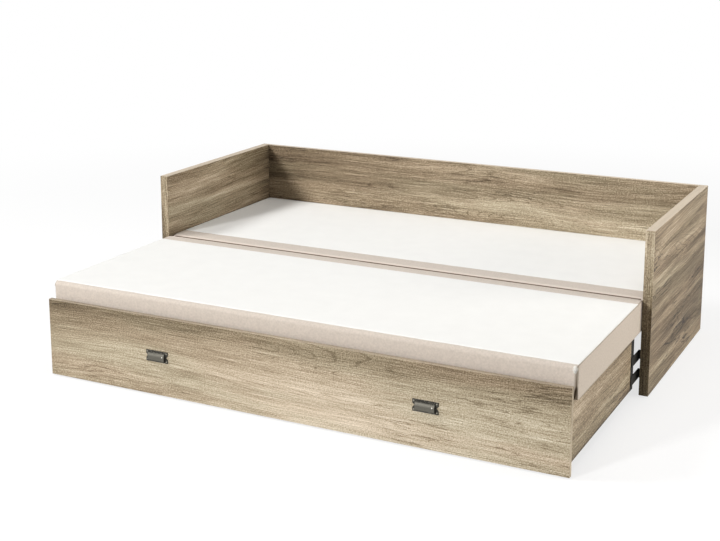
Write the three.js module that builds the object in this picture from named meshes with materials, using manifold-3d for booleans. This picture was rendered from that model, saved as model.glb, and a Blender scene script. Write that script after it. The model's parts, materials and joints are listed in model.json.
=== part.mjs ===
// Extendable daybed. A fixed frame of two side panels and a back carries the rear half of the
// mattress. The front pulls out on castors and carries the other half, which is joined to the
// rear half by a fabric hinge and folds over on to it before the front is pushed home.
//
// Millimetres, +X to the right along the bed, +Y to the back, +Z up. The pieces are placed
// with Y = 0 at the front edges of the side panels and Z = 0 on the floor, and the whole is
// then moved along Y so that the origin lies under the middle of the extended bed.

import * as THREE from 'three';
import { mergeVertices } from 'three/addons/utils/BufferGeometryUtils.js';
import Module from 'manifold-3d';

const wasm = await Module();
wasm.setup();

// Main sizes
const innerLength = 2014; // clear length between the side panels
const sideDepth = 840; // side panels, front to back, which is the depth of the closed bed
const overallHeight = 610; // floor to the top of the side panels
const sleepHeight = 355; // floor to the top of the mattress

// Board thicknesses
const sideThickness = 34;
const backThickness = 18;
const frontThickness = 18;
const partitionThickness = 18;
const drawerThickness = 16; // the boards of the pull-out frame behind its front
const baseThickness = 12; // ventilated boards under the mattress
const edgeEase = 1; // eased edges of the boards

// Heights of the pull-out
const frontBottom = 5; // floor to the lower edge of the drawer front
const frontTop = 295; // floor to the upper edge of the drawer front
const drawerBottom = 40; // floor to the lower edge of the drawer boards
const drawerTop = 240; // floor to the upper edge of the drawer boards

// Clearances
const seat = 0.3; // gap left between two pieces that touch
const slideGap = 3; // vertical clearance between the pull-out and the base above it
const sideGap = 13; // running gap between the drawer boards and the side panels
const frontGap = 6; // gap at each end of the drawer front
const partitionGap = 5; // running gap each side of the partition
const closedGap = 5; // what is left behind the pull-out's base boards when it is closed
const behindFront = 2; // between the closed drawer front and what stands behind it
const foldGap = 26; // behind the drawer front, for the mattress edge to swing up

// Steel angles and brackets
const steel = 3; // thickness of the steel parts
const beamUpright = 40;
const beamFlange = 32;
const bracketLength = 40; // along the side panel
const bracketClear = 1; // between a bracket's shelf and the line of the drawer boards
const drawerSetback = 75; // drawer boards end this far in front of the side panels
const carriageDepth = 35; // width of the upright plate behind each drawer side
const carriageFlange = 40; // width of the flange against the drawer back
const armHeight = 36;
const armRunIn = 5; // an arm starts this far behind the drawer side
const armShort = 1; // an arm ends this far inside the roller's rim
const weldMargin = 1; // the weld between arm and plate stays this far inside the arm

// Guide rails and rollers
const railDepth = 9; // how far a rail stands off its side panel
const railWeb = 1.5;
const railWall = 2;
const railLip = 3; // turned-in lip that keeps the rollers in
const railMargin = 12; // web above the upper track and below the lower one
const stopThickness = 2; // end stops that close each track
const lowerTrack = 76; // height of the lower track
const upperTrack = 146; // height of the upper track
const rollerRadius = 11;
const rollerWidth = 5;
const rollerPin = 3; // radius of the pin
const boreGap = 0.15; // a wheel's bore over its pin

// Castors
const wheelRadius = 20;
const wheelWidth = 16;
const axleRadius = 3;
const axleHead = 5.5; // radius of the head that keeps the wheel on
const axleHeadLength = 2;
const hubShare = 0.4; // radius of the hub, as a share of the wheel's radius
const rimShare = 0.72; // inner radius of the rim, as a share of the wheel's radius
const recessShare = 0.22; // depth of the recess in each face, as a share of the width
const treadShare = 0.2; // width of the rounded shoulder, as a share of the width
const castorWidth = 44; // width of the plate screwed to the bearer
const castorGrip = 42; // height of the plate on the bearer
const castorInset = 70; // from either end of the bearer

// Small parts
const glideHeight = 4;
const glideRadius = 11;
const smallGlideRadius = 8;
const glideInset = 40; // from the front and back edges
const ledgerHeight = 30;
const ledgerThickness = 18;
const frontLedgerHeight = 18;
const backFloorGap = 8; // below the back panel

// Ventilation slots in the base boards
const slotWidth = 12;
const slotLength = 210;
const slotPitch = 130;
const slotRowGap = 90;
const boardGap = 2; // between neighbouring base boards

// Mattress
const mattressSideGap = 7; // between the mattress and each side panel
const seamGap = 0.5; // each side of the beam, and before the back panel
const crown = 4;
const drawIn = 3; // how far each side is drawn in at its middle
const topRadius = 16; // upper edge at the sides
const noseRadius = 32; // upper edge along the front
const seamRadius = 7; // upper edge along the seam and at the back
const bottomRadius = 12;
const noseCorner = 42; // corner radius in plan, at the front of the front half
const backCorner = 20; // corner radius in plan, everywhere else

// Handles
const handleSpread = 520; // from the middle of the bed
const handleWidth = 92;
const handleHeight = 42;
const handleReach = 22; // how far a handle stands in front of the drawer front
const handlePlate = 2;
const handleWall = 2;
const earLength = 11; // the ears beyond each end of the cup
const earNotch = 15; // height of the notch between two ears
const cupTop = 15; // cup above the middle of the handle
const cupBottom = 14; // cup below the middle of the handle
const cupShoulder = 13; // drop of the rounded upper part
const cupFullness = 0.82; // how square the rounded upper part is
const notchShare = 0.7; // depth of the notch, as a share of the ear

// Places that follow from the sizes above
const half = innerLength / 2;
const backFace = sideDepth - backThickness;
const railFront = frontThickness + behindFront;
const railRear = backFace - seat;
const rollerHome = railFront + stopThickness + seat + rollerRadius;
const travel = railRear - stopThickness - seat - rollerRadius - rollerHome;
const frontInner = -travel + frontThickness;
const drawerHalf = half - sideGap;
const drawerRear = -drawerSetback;
const drawerBackFront = drawerRear - drawerThickness;
const innerBoardNear = partitionThickness / 2 + partitionGap;
const innerBoardFar = innerBoardNear + drawerThickness;
const bearerMiddle = (innerBoardNear + drawerHalf - drawerThickness) / 2;
const boardSupport = drawerTop - baseThickness - seat;
const ledgerFront = backFace - ledgerThickness;
const beamFront = frontThickness + behindFront;
const beamBottom = drawerTop + slideGap;
const baseSupport = beamBottom + steel;
const rearBaseTop = baseSupport + seat + baseThickness;
const mattressHalf = half - mattressSideGap;
const frontReach = travel + handleReach;

const finishes = {
  panel: { color: 0xa89678, roughness: 0.6, metalness: 0 },
  board: { color: 0xcdb48a, roughness: 0.7, metalness: 0 },
  steel: { color: 0x24262a, roughness: 0.45, metalness: 0.6 },
  handle: { color: 0x5c5a55, roughness: 0.4, metalness: 0.8 },
  plastic: { color: 0x2b2b2b, roughness: 0.6, metalness: 0 },
  wheel: { color: 0x3a3a3c, roughness: 0.7, metalness: 0 },
  bearing: { color: 0x9a9a9c, roughness: 0.3, metalness: 1 },
  cover: { color: 0xe9e4dc, roughness: 0.9, metalness: 0 },
};

// A closed geometry as a solid that can be joined or cut.
function toSolid(geometry) {
  const plain = geometry.clone();
  plain.deleteAttribute('normal');
  plain.deleteAttribute('uv');
  const merged = mergeVertices(plain);
  const mesh = new wasm.Mesh({
    numProp: 3,
    vertProperties: new Float32Array(merged.attributes.position.array),
    triVerts: new Uint32Array(merged.index.array),
  });
  return new wasm.Manifold(mesh);
}

// A solid as a geometry again.
function toGeometry(solid) {
  const mesh = solid.getMesh();
  const geometry = new THREE.BufferGeometry();
  const corners = new THREE.BufferAttribute(new Float32Array(mesh.vertProperties), 3);
  geometry.setAttribute('position', corners);
  geometry.setIndex(new THREE.BufferAttribute(new Uint32Array(mesh.triVerts), 1));
  geometry.computeVertexNormals();
  return geometry;
}

// Several overlapping geometries as one body.
function join(...geometries) {
  const solids = geometries.map(toSolid);
  return toGeometry(solids.reduce((whole, next) => whole.add(next)));
}

// The first geometry with the second cut out of it.
function cutOut(base, tool) {
  return toGeometry(toSolid(base).subtract(toSolid(tool)));
}

// A named piece in its finish, moved to its place.
function piece(name, geometry, finish, x = 0, y = 0, z = 0) {
  const mesh = new THREE.Mesh(geometry, new THREE.MeshStandardMaterial(finishes[finish]));
  mesh.name = name;
  mesh.position.set(x, y, z);
  return mesh;
}

// An outline drawn through its corners.
function outlineOf(corners) {
  return new THREE.Shape(corners.map(([u, v]) => new THREE.Vector2(u, v)));
}

// A plate from 0 to its thickness along +Z, with its edges eased inside its outline.
function plate(shape, thickness, ease = 0, curveSegments = 6) {
  const geometry = new THREE.ExtrudeGeometry(shape, {
    depth: thickness - 2 * ease,
    bevelEnabled: ease > 0,
    bevelThickness: ease,
    bevelSize: ease,
    bevelOffset: -ease,
    bevelSegments: 1,
    curveSegments,
  });
  return geometry.translate(0, 0, ease);
}

// Stands a plate up: its outline in the Y-Z plane, its thickness along +X.
function acrossX(geometry) {
  return geometry.applyMatrix4(new THREE.Matrix4().set(0, 0, 1, 0, 1, 0, 0, 0, 0, 1, 0, 0, 0, 0, 0, 1));
}

// Stands a plate up: its outline in the X-Z plane, its thickness along +Y.
function acrossY(geometry, thickness) {
  const turn = new THREE.Matrix4().set(1, 0, 0, 0, 0, 0, -1, thickness, 0, 1, 0, 0, 0, 0, 0, 1);
  return geometry.applyMatrix4(turn);
}

// A flat rectangle of the given size with one corner at the origin.
function rectangle(width, height) {
  return outlineOf([[0, 0], [width, 0], [width, height], [0, height]]);
}

// A plain board between two corners, with eased edges, cut across its thinnest direction.
function boardGeometry(low, high, ease = edgeEase) {
  const size = high.map((value, axis) => value - low[axis]);
  const thinnest = size.indexOf(Math.min(...size));
  if (thinnest === 0) {
    return acrossX(plate(rectangle(size[1], size[2]), size[0], ease)).translate(...low);
  }
  if (thinnest === 1) {
    return acrossY(plate(rectangle(size[0], size[2]), size[1], ease), size[1]).translate(...low);
  }
  return plate(rectangle(size[0], size[1]), size[2], ease).translate(...low);
}

// A board between two corners that are given for the right half, or mirrored to the left.
function sidedBoard(name, side, low, high, finish) {
  const lowX = side > 0 ? low[0] : -high[0];
  const highX = side > 0 ? high[0] : -low[0];
  return piece(name, boardGeometry([lowX, low[1], low[2]], [highX, high[1], high[2]]), finish);
}

// A turned part whose axis runs along +X. Its profile is a list of [radius, distance along X].
function turned(profile, segments) {
  const points = profile.map(([radius, along]) => new THREE.Vector2(radius, along));
  const geometry = new THREE.LatheGeometry(points, segments);
  return geometry.rotateZ(-Math.PI / 2);
}

// Fixed frame

function sidePanel(name, side) {
  const low = [half, 0, glideHeight];
  const high = [half + sideThickness, sideDepth, overallHeight];
  return sidedBoard(name, side, low, high, 'panel');
}

function backPanel() {
  const low = [seat - half, backFace, backFloorGap];
  const high = [half - seat, sideDepth, overallHeight];
  return piece('back_panel', boardGeometry(low, high), 'panel');
}

// The partition stands under the middle of the base. It is notched at the top for the steel
// beam in front and for the ledger behind.
function centrePartition() {
  const front = beamFront + steel / 2;
  const notchRear = beamFront + beamFlange + seat;
  const shape = outlineOf([
    [front, glideHeight],
    [backFace - seat, glideHeight],
    [backFace - seat, baseSupport - ledgerHeight - seat],
    [ledgerFront - seat, baseSupport - ledgerHeight - seat],
    [ledgerFront - seat, baseSupport],
    [notchRear, baseSupport],
    [notchRear, beamBottom - seat],
    [front, beamBottom - seat],
  ]);
  const geometry = acrossX(plate(shape, partitionThickness, edgeEase / 2));
  return piece('centre_partition', geometry, 'board', -partitionThickness / 2);
}

function rearLedger() {
  const low = [seat - half, ledgerFront, baseSupport - ledgerHeight];
  const high = [half - seat, backFace - seat, baseSupport];
  return piece('rear_ledger', boardGeometry(low, high), 'board');
}

// A steel angle along the front of the base: the flange carries the base boards and the
// upright keeps the two halves of the mattress apart below the seam.
function frontBeam() {
  const reach = half - steel - 2 * seat;
  const shape = outlineOf([
    [beamFront, beamBottom],
    [beamFront + beamFlange, beamBottom],
    [beamFront + beamFlange, baseSupport],
    [beamFront + steel, baseSupport],
    [beamFront + steel, beamBottom + beamUpright],
    [beamFront, beamBottom + beamUpright],
  ]);
  return piece('front_beam', acrossX(plate(shape, 2 * reach)), 'steel', -reach);
}

// A small angle on each side panel: a shelf under the end of the beam, and a plate up the
// panel beside it.
function beamBracket(name, side) {
  const shelf = sideGap - seat - bracketClear;
  const face = side * (half - seat);
  const shelfTop = beamBottom - seat;
  const shelfBottom = drawerTop + seat;
  const inward = -side;
  const shape = outlineOf([
    [face, shelfBottom],
    [face + inward * shelf, shelfBottom],
    [face + inward * shelf, shelfTop],
    [face + inward * steel, shelfTop],
    [face + inward * steel, beamBottom + beamUpright],
    [face, beamBottom + beamUpright],
  ]);
  const geometry = acrossY(plate(shape, bracketLength), bracketLength);
  return piece(name, geometry, 'steel', 0, beamFront);
}

// The rail's section, as distances from the side panel and heights: a web with two tracks,
// each between a lower and an upper wall whose lips are turned in.
function railSection(side) {
  const room = rollerRadius + seat;
  const corners = [[0, lowerTrack - room - railMargin], [railWeb, lowerTrack - room - railMargin]];
  for (const centre of [lowerTrack, upperTrack]) {
    for (const edge of [-1, 1]) {
      const inner = centre + edge * room;
      const outer = inner + edge * railWall;
      const lip = inner - edge * railLip;
      const wall = [[railWeb, outer], [railDepth, outer], [railDepth, lip]];
      wall.push([railDepth - railWeb, lip], [railDepth - railWeb, inner], [railWeb, inner]);
      corners.push(...(edge < 0 ? wall : wall.reverse()));
    }
  }
  corners.push([railWeb, upperTrack + room + railMargin], [0, upperTrack + room + railMargin]);
  return outlineOf(corners.map(([out, height]) => [side * (half - seat - out), height]));
}

// One rail serves both rollers of its side. Small plates close the tracks at both ends and
// stop the rollers, and with them the pull-out.
function guideRail(name, side) {
  const length = railRear - railFront;
  const parts = [acrossY(plate(railSection(side), length), length).translate(0, railFront, 0)];
  const room = rollerRadius + seat;
  for (const centre of [lowerTrack, upperTrack]) {
    for (const start of [railFront, railRear - stopThickness]) {
      const near = side * (half - seat - railWeb / 2);
      const far = side * (half - seat - railDepth + railWeb / 2);
      const low = [Math.min(near, far), start, centre - room - railWall / 2];
      const high = [Math.max(near, far), start + stopThickness, centre + room + railWall / 2];
      parts.push(boardGeometry(low, high, 0));
    }
  }
  return piece(name, join(...parts), 'steel');
}

// A plastic glide with a rounded lower edge.
function glide(name, radius, x, y) {
  const round = glideHeight / 4;
  const top = glideHeight - seat;
  const profile = [[0, 0], [radius - round, 0], [radius, round], [radius, top], [0, top]];
  const points = profile.map(([out, up]) => new THREE.Vector2(out, up));
  const geometry = new THREE.LatheGeometry(points, 16).rotateX(Math.PI / 2);
  return piece(name, geometry, 'plastic', x, y);
}

// A ventilated board: rows of long slots with round ends, as many as the board has room for.
function slottedBoard(name, low, high) {
  const width = high[0] - low[0];
  const depth = high[1] - low[1];
  const shape = rectangle(width, depth);
  const columns = Math.max(1, Math.floor(width / slotPitch));
  const rows = Math.max(1, Math.floor((depth - slotRowGap) / (slotLength + slotRowGap)));
  for (let column = 0; column < columns; column += 1) {
    for (let row = 0; row < rows; row += 1) {
      const x = width / 2 + (column - (columns - 1) / 2) * slotPitch;
      const y = depth / 2 + (row - (rows - 1) / 2) * (slotLength + slotRowGap);
      shape.holes.push(slotOutline(x, y));
    }
  }
  return piece(name, plate(shape, high[2] - low[2], 0, 4), 'board', ...low);
}

// A slot that runs front to back, centred on a point.
function slotOutline(x, y) {
  const radius = slotWidth / 2;
  const straight = slotLength / 2 - radius;
  const path = new THREE.Path();
  path.absarc(x, y + straight, radius, 0, Math.PI, false);
  path.absarc(x, y - straight, radius, Math.PI, 2 * Math.PI, false);
  return path;
}

// A row of boards side by side between two ends, a small gap apart.
function boardRow(prefix, first, start, end, count, low, high) {
  const pitch = (end - start) / count;
  const boards = [];
  for (let index = 0; index < count; index += 1) {
    const left = start + index * pitch + boardGap / 2;
    const right = start + (index + 1) * pitch - boardGap / 2;
    boards.push(slottedBoard(`${prefix}_${first + index}`, [left, ...low], [right, ...high]));
  }
  return boards;
}

function rearBase() {
  const end = half - steel - 2 * seat;
  const low = [beamFront + steel + seat, baseSupport + seat];
  const high = [backFace - seat, rearBaseTop];
  return boardRow('rear_base_board', 1, -end, end, 4, low, high);
}

// Mattress

// Points around a mattress seen from above, each with its outward direction and a share from
// 0 at the corners to 1 at the middle of a side.
function planOutline(halfWidth, depth, frontCorner, rearCorner) {
  const points = [];
  const cornerSteps = 5;
  const corners = [
    { x: halfWidth - frontCorner, y: frontCorner, radius: frontCorner, start: -90, side: 6 },
    { x: halfWidth - rearCorner, y: depth - rearCorner, radius: rearCorner, start: 0, side: 12 },
    { x: rearCorner - halfWidth, y: depth - rearCorner, radius: rearCorner, start: 90, side: 6 },
    { x: frontCorner - halfWidth, y: frontCorner, radius: frontCorner, start: 180, side: 12 },
  ];
  corners.forEach((corner, index) => {
    for (let step = 0; step <= cornerSteps; step += 1) {
      const angle = THREE.MathUtils.degToRad(corner.start + (90 * step) / cornerSteps);
      const out = new THREE.Vector2(Math.cos(angle), Math.sin(angle));
      const at = new THREE.Vector2(corner.x, corner.y).addScaledVector(out, corner.radius);
      points.push({ at, out, share: 0 });
    }
    const from = points[points.length - 1];
    const next = corners[(index + 1) % corners.length];
    const to = new THREE.Vector2(next.x, next.y).addScaledVector(from.out, next.radius);
    for (let step = 1; step < corner.side; step += 1) {
      const share = Math.sin((Math.PI * step) / corner.side);
      const at = from.at.clone().lerp(to, step / corner.side);
      points.push({ at, out: from.out, share });
    }
  });
  return points;
}

// One half of the mattress: rounded edges, sides drawn in between the corners, and a crown.
// It stands on z = 0 with its front face on y = 0.
function mattressGeometry(depth, height, frontRadius, frontCorner) {
  const points = planOutline(mattressHalf, depth, frontCorner, backCorner);
  const shoulder = height - crown;
  const edgeRadius = ({ out }) => {
    const along = out.y < 0 ? frontRadius : seamRadius;
    return topRadius * out.x ** 2 + along * out.y ** 2;
  };
  const inset = (point, distance) => point.at.clone()
    .addScaledVector(point.out, -distance - drawIn * point.share);
  const rings = [];
  for (const degrees of [90, 45, 0]) {
    const angle = THREE.MathUtils.degToRad(degrees);
    rings.push(points.map((point) => {
      const at = inset(point, bottomRadius * (1 - Math.cos(angle)));
      return [at.x, at.y, bottomRadius * (1 - Math.sin(angle))];
    }));
  }
  for (const degrees of [0, 30, 60, 90]) {
    const angle = THREE.MathUtils.degToRad(degrees);
    rings.push(points.map((point) => {
      const radius = edgeRadius(point);
      const at = inset(point, radius * (1 - Math.cos(angle)));
      return [at.x, at.y, shoulder - radius * (1 - Math.sin(angle))];
    }));
  }
  const rim = rings[rings.length - 1];
  for (const share of [0.9, 0.6, 0.3]) {
    const up = shoulder + crown * (1 - share ** 2);
    rings.push(rim.map(([x, y]) => [x * share, depth / 2 + (y - depth / 2) * share, up]));
  }
  return closedRings(rings, [0, depth / 2, 0], [0, depth / 2, height]);
}

// A closed body through rings of points, from a first pole below to a last pole above.
function closedRings(rings, first, last) {
  const count = rings[0].length;
  const position = [first, ...rings.flat(), last].flat();
  const index = [];
  const topPole = rings.length * count + 1;
  for (let step = 0; step < count; step += 1) {
    const next = (step + 1) % count;
    index.push(0, 1 + next, 1 + step);
    for (let ring = 0; ring < rings.length - 1; ring += 1) {
      const low = 1 + ring * count;
      const high = low + count;
      index.push(low + step, low + next, high + next);
      index.push(low + step, high + next, high + step);
    }
    const rim = 1 + (rings.length - 1) * count;
    index.push(rim + step, rim + next, topPole);
  }
  const geometry = new THREE.BufferGeometry();
  geometry.setAttribute('position', new THREE.Float32BufferAttribute(position, 3));
  geometry.setIndex(index);
  geometry.computeVertexNormals();
  return geometry;
}

function rearMattress() {
  const front = beamFront + steel + seamGap;
  const depth = backFace - seamGap - front;
  const bottom = rearBaseTop + seat;
  const geometry = mattressGeometry(depth, sleepHeight - bottom, seamRadius, backCorner);
  return piece('rear_mattress', geometry, 'cover', 0, front, bottom);
}

function frontMattress() {
  const front = frontInner + foldGap;
  const depth = beamFront - seamGap - front;
  const bottom = drawerTop + seat;
  const geometry = mattressGeometry(depth, sleepHeight - bottom, noseRadius, noseCorner);
  return piece('front_mattress', geometry, 'cover', 0, front, bottom);
}

// Pull-out

function drawerFront() {
  const reach = half - frontGap;
  const low = [-reach, -travel, frontBottom];
  const high = [reach, frontInner, frontTop];
  return piece('drawer_front', boardGeometry(low, high), 'panel');
}

function drawerSide(name, side) {
  const low = [drawerHalf - drawerThickness, frontInner + seat, drawerBottom];
  const high = [drawerHalf, drawerRear, drawerTop];
  return sidedBoard(name, side, low, high, 'panel');
}

// The inner boards run either side of the partition, and carry the base boards on top.
function drawerInner(name, side) {
  const low = [innerBoardNear, frontInner + ledgerThickness + 2 * seat, drawerBottom];
  const high = [innerBoardFar, drawerRear, boardSupport];
  return sidedBoard(name, side, low, high, 'board');
}

function drawerBack(name, side) {
  const low = [innerBoardFar + seat, drawerBackFront, drawerBottom];
  const high = [drawerHalf - drawerThickness - seat, drawerRear, boardSupport];
  return sidedBoard(name, side, low, high, 'board');
}

function frontLedger(name, side) {
  const low = [innerBoardNear, frontInner + seat, boardSupport - frontLedgerHeight];
  const high = [drawerHalf - drawerThickness - seat, frontInner + seat + ledgerThickness, boardSupport];
  return sidedBoard(name, side, low, high, 'board');
}

// A bearer stands on edge under the joint of two base boards, notched for the ledger in front.
function drawerBearer(name, side) {
  const front = frontInner + seat;
  const notch = front + ledgerThickness + seat;
  const rear = drawerBackFront - seat;
  const shape = outlineOf([
    [front, drawerBottom],
    [rear, drawerBottom],
    [rear, boardSupport],
    [notch, boardSupport],
    [notch, boardSupport - frontLedgerHeight - seat],
    [front, boardSupport - frontLedgerHeight - seat],
  ]);
  const geometry = acrossX(plate(shape, drawerThickness, edgeEase / 2));
  return piece(name, geometry, 'board', side * bearerMiddle - drawerThickness / 2);
}

// The base boards run on past the back of the drawer, so that they carry the mattress up to
// the seam.
function drawerBase() {
  const outer = drawerHalf - drawerThickness - seat;
  const rear = ledgerFront - closedGap - travel;
  const low = [frontInner + 2 * seat, boardSupport + seat];
  const high = [rear, drawerTop];
  const left = boardRow('drawer_base_board', 1, -outer, -innerBoardNear, 2, low, high);
  const right = boardRow('drawer_base_board', 3, innerBoardNear, outer, 2, low, high);
  return [...left, ...right];
}

// The steel carriage behind each drawer side: an upright plate in line with the side, a flange
// against the drawer back, which stops below the base boards, and two arms that reach back to
// the rail and carry a roller pin each.
function carriageBracket(name, side) {
  const front = drawerRear + seat;
  const outer = drawerHalf;
  const upright = outlineOf([
    [side * outer, front],
    [side * outer, front + carriageDepth],
    [side * (outer - steel), front + carriageDepth],
    [side * (outer - steel), front],
  ]);
  const flange = outlineOf([
    [side * (outer - steel / 2), front],
    [side * (outer - steel / 2), front + steel],
    [side * (outer - carriageFlange), front + steel],
    [side * (outer - carriageFlange), front],
  ]);
  const parts = [
    plate(upright, drawerTop - drawerBottom).translate(0, 0, drawerBottom),
    plate(flange, boardSupport - drawerBottom).translate(0, 0, drawerBottom),
  ];
  for (const height of [lowerTrack, upperTrack]) {
    parts.push(carriageArm(side, height), rollerPinGeometry(side, height));
  }
  return piece(name, join(...parts), 'steel');
}

// An arm lies on the outer face of the plate and ends in a half round about the roller pin.
function carriageArm(side, height) {
  const start = drawerRear + seat + armRunIn;
  const end = rollerHome + rollerRadius - armShort;
  const bend = rollerHome - armHeight / 4;
  const low = height - armHeight / 2;
  const high = height + armHeight / 2;
  const shape = new THREE.Shape();
  shape.moveTo(start, low);
  shape.lineTo(bend, low);
  shape.quadraticCurveTo(end, low, end, height);
  shape.quadraticCurveTo(end, high, bend, high);
  shape.lineTo(start, high);
  const innerX = side > 0 ? drawerHalf : -drawerHalf - steel;
  const arm = acrossX(plate(shape, steel)).translate(innerX, 0, 0);
  const weldX = side * drawerHalf - steel / 2;
  const weldLow = [weldX, start + weldMargin, low + weldMargin];
  const weldHigh = [weldX + steel, drawerRear + carriageDepth - weldMargin, high - weldMargin];
  return join(arm, boardGeometry(weldLow, weldHigh, 0));
}

// The pin stands out from the arm into the track.
function rollerPinGeometry(side, height) {
  const root = drawerHalf + steel / 2;
  const tip = half - seat - railWeb - seat;
  const profile = [[0, root], [rollerPin, root], [rollerPin, tip], [0, tip]];
  const pin = turned(profile, 16);
  if (side < 0) pin.rotateZ(Math.PI);
  return pin.translate(0, rollerHome, height);
}

// A steel ball bearing with chamfered rims, which runs in a track as a roller.
function guideRoller(name, side, height) {
  const middle = half - seat - railDepth / 2;
  const near = middle - rollerWidth / 2;
  const far = middle + rollerWidth / 2;
  const bore = rollerPin + boreGap;
  const chamfer = 1;
  const profile = [
    [bore, near],
    [rollerRadius - chamfer, near],
    [rollerRadius, near + chamfer],
    [rollerRadius, far - chamfer],
    [rollerRadius - chamfer, far],
    [bore, far],
    [bore, near],
  ];
  const geometry = turned(profile, 20);
  if (side < 0) geometry.rotateZ(Math.PI);
  return piece(name, geometry, 'bearing', 0, rollerHome, height);
}

// A castor plate is screwed to the face of the bearer. It narrows to a round end about the
// axle, and the axle's head keeps the wheel on.
function castorBracket(name, side, y) {
  const face = bearerMiddle + drawerThickness / 2 + seat;
  const top = drawerBottom + castorGrip;
  const shape = new THREE.Shape();
  shape.moveTo(-castorWidth / 2, top);
  shape.lineTo(-castorWidth / 2, drawerBottom);
  shape.lineTo(-wheelRadius / 2, wheelRadius);
  shape.absarc(0, wheelRadius, wheelRadius / 2, Math.PI, 2 * Math.PI, false);
  shape.lineTo(castorWidth / 2, drawerBottom);
  shape.lineTo(castorWidth / 2, top);
  const cheek = acrossX(plate(shape, steel, 0, 5)).translate(face, 0, 0);
  const start = face + steel / 2;
  const headStart = face + steel + 2 * seat + wheelWidth + seat;
  const end = headStart + axleHeadLength;
  const profile = [[0, start], [axleRadius, start], [axleRadius, headStart], [axleHead, headStart]];
  profile.push([axleHead, end], [0, end]);
  const axle = turned(profile, 16).translate(0, 0, wheelRadius);
  const whole = join(cheek, axle);
  if (side < 0) whole.rotateZ(Math.PI);
  return piece(name, whole, 'steel', 0, y);
}

// A wheel with a rounded tread and a web that is thinner than its hub and rim.
function castorWheel(name, side, y) {
  const near = bearerMiddle + drawerThickness / 2 + seat + steel + 2 * seat;
  const far = near + wheelWidth;
  const bore = axleRadius + boreGap;
  const hub = wheelRadius * hubShare;
  const rim = wheelRadius * rimShare;
  const recess = wheelWidth * recessShare;
  const shoulder = wheelWidth * treadShare;
  const rightFace = [[hub, near], [hub, near + recess], [rim, near + recess], [rim, near]];
  const leftFace = [[rim, far], [rim, far - recess], [hub, far - recess], [hub, far]];
  const tread = [[wheelRadius - shoulder / 2, near], [wheelRadius, near + shoulder]];
  tread.push([wheelRadius, far - shoulder], [wheelRadius - shoulder / 2, far]);
  const profile = [[bore, near], ...rightFace, ...tread, ...leftFace, [bore, far], [bore, near]];
  const geometry = turned(profile, 24);
  if (side < 0) geometry.rotateZ(Math.PI);
  return piece(name, geometry, 'wheel', 0, y, wheelRadius);
}

// A cup's section: rounded over the top, straight down the front, open below.
function cupSection(reach, top, bottom, shoulder) {
  const shape = new THREE.Shape();
  shape.moveTo(0, -bottom);
  shape.lineTo(0, top);
  shape.quadraticCurveTo(-reach * cupFullness, top, -reach, top - shoulder);
  shape.lineTo(-reach, -bottom);
  return shape;
}

// A cup handle: a flat plate with an ear at each corner, and a cup that is open below for
// the fingers.
function handle(name, side) {
  const cupHalf = handleWidth / 2 - earLength;
  const depth = handleReach - seat;
  const outer = acrossX(plate(cupSection(depth, cupTop, cupBottom, cupShoulder), 2 * cupHalf));
  outer.translate(-cupHalf, 0, 0);
  const hollowHalf = cupHalf - handleWall;
  const hollow = acrossX(plate(
    cupSection(depth - handleWall, cupTop - handleWall, cupBottom + handleWall, cupShoulder),
    2 * hollowHalf,
  )).translate(-hollowHalf, 0, 0);
  const backing = acrossY(plate(earedOutline(), handlePlate), handlePlate).translate(0, -handlePlate, 0);
  const geometry = join(cutOut(outer, hollow), backing);
  const middle = (frontBottom + frontTop) / 2;
  return piece(name, geometry, 'handle', side * handleSpread, -travel - seat, middle);
}

// The handle's plate: a rectangle with a notch in the middle of each short side.
function earedOutline() {
  const wide = handleWidth / 2;
  const tall = handleHeight / 2;
  const notch = earNotch / 2;
  const waist = wide - earLength * notchShare;
  return outlineOf([
    [-wide, -tall],
    [wide, -tall],
    [wide, -notch],
    [waist, 0],
    [wide, notch],
    [wide, tall],
    [-wide, tall],
    [-wide, notch],
    [-waist, 0],
    [-wide, -notch],
  ]);
}

// Assembly

function fixedFrame() {
  const group = new THREE.Group();
  group.add(backPanel(), centrePartition(), rearLedger(), frontBeam(), ...rearBase(), rearMattress());
  const middle = half + sideThickness / 2;
  for (const [side, word] of [[-1, 'left'], [1, 'right']]) {
    group.add(sidePanel(`side_panel_${word}`, side));
    group.add(beamBracket(`beam_bracket_${word}`, side));
    group.add(guideRail(`guide_rail_${word}`, side));
    group.add(glide(`glide_front_${word}`, glideRadius, side * middle, glideInset));
    group.add(glide(`glide_rear_${word}`, glideRadius, side * middle, sideDepth - glideInset));
  }
  group.add(glide('partition_glide_front', smallGlideRadius, 0, beamFront + glideInset));
  group.add(glide('partition_glide_rear', smallGlideRadius, 0, backFace - glideInset));
  return group;
}

function pullOut() {
  const group = new THREE.Group();
  group.add(drawerFront(), ...drawerBase());
  for (const [side, word] of [[-1, 'left'], [1, 'right']]) {
    group.add(drawerSide(`drawer_side_${word}`, side));
    group.add(drawerInner(`drawer_inner_${word}`, side));
    group.add(drawerBack(`drawer_back_${word}`, side));
    group.add(drawerBearer(`drawer_bearer_${word}`, side));
    group.add(frontLedger(`front_ledger_${word}`, side));
    group.add(carriageBracket(`carriage_bracket_${word}`, side));
    group.add(handle(`handle_${word}`, side));
    group.add(guideRoller(`guide_roller_lower_${word}`, side, lowerTrack));
    group.add(guideRoller(`guide_roller_upper_${word}`, side, upperTrack));
    const castors = [[frontInner + castorInset, 'front'], [drawerBackFront - castorInset, 'rear']];
    for (const [y, end] of castors) {
      group.add(castorBracket(`castor_bracket_${end}_${word}`, side, y));
      group.add(castorWheel(`castor_wheel_${end}_${word}`, side, y));
    }
  }
  return group;
}

const daybed = new THREE.Group();
daybed.add(fixedFrame(), pullOut(), frontMattress());
daybed.position.y = (frontReach - sideDepth) / 2;

export default daybed;
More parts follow.
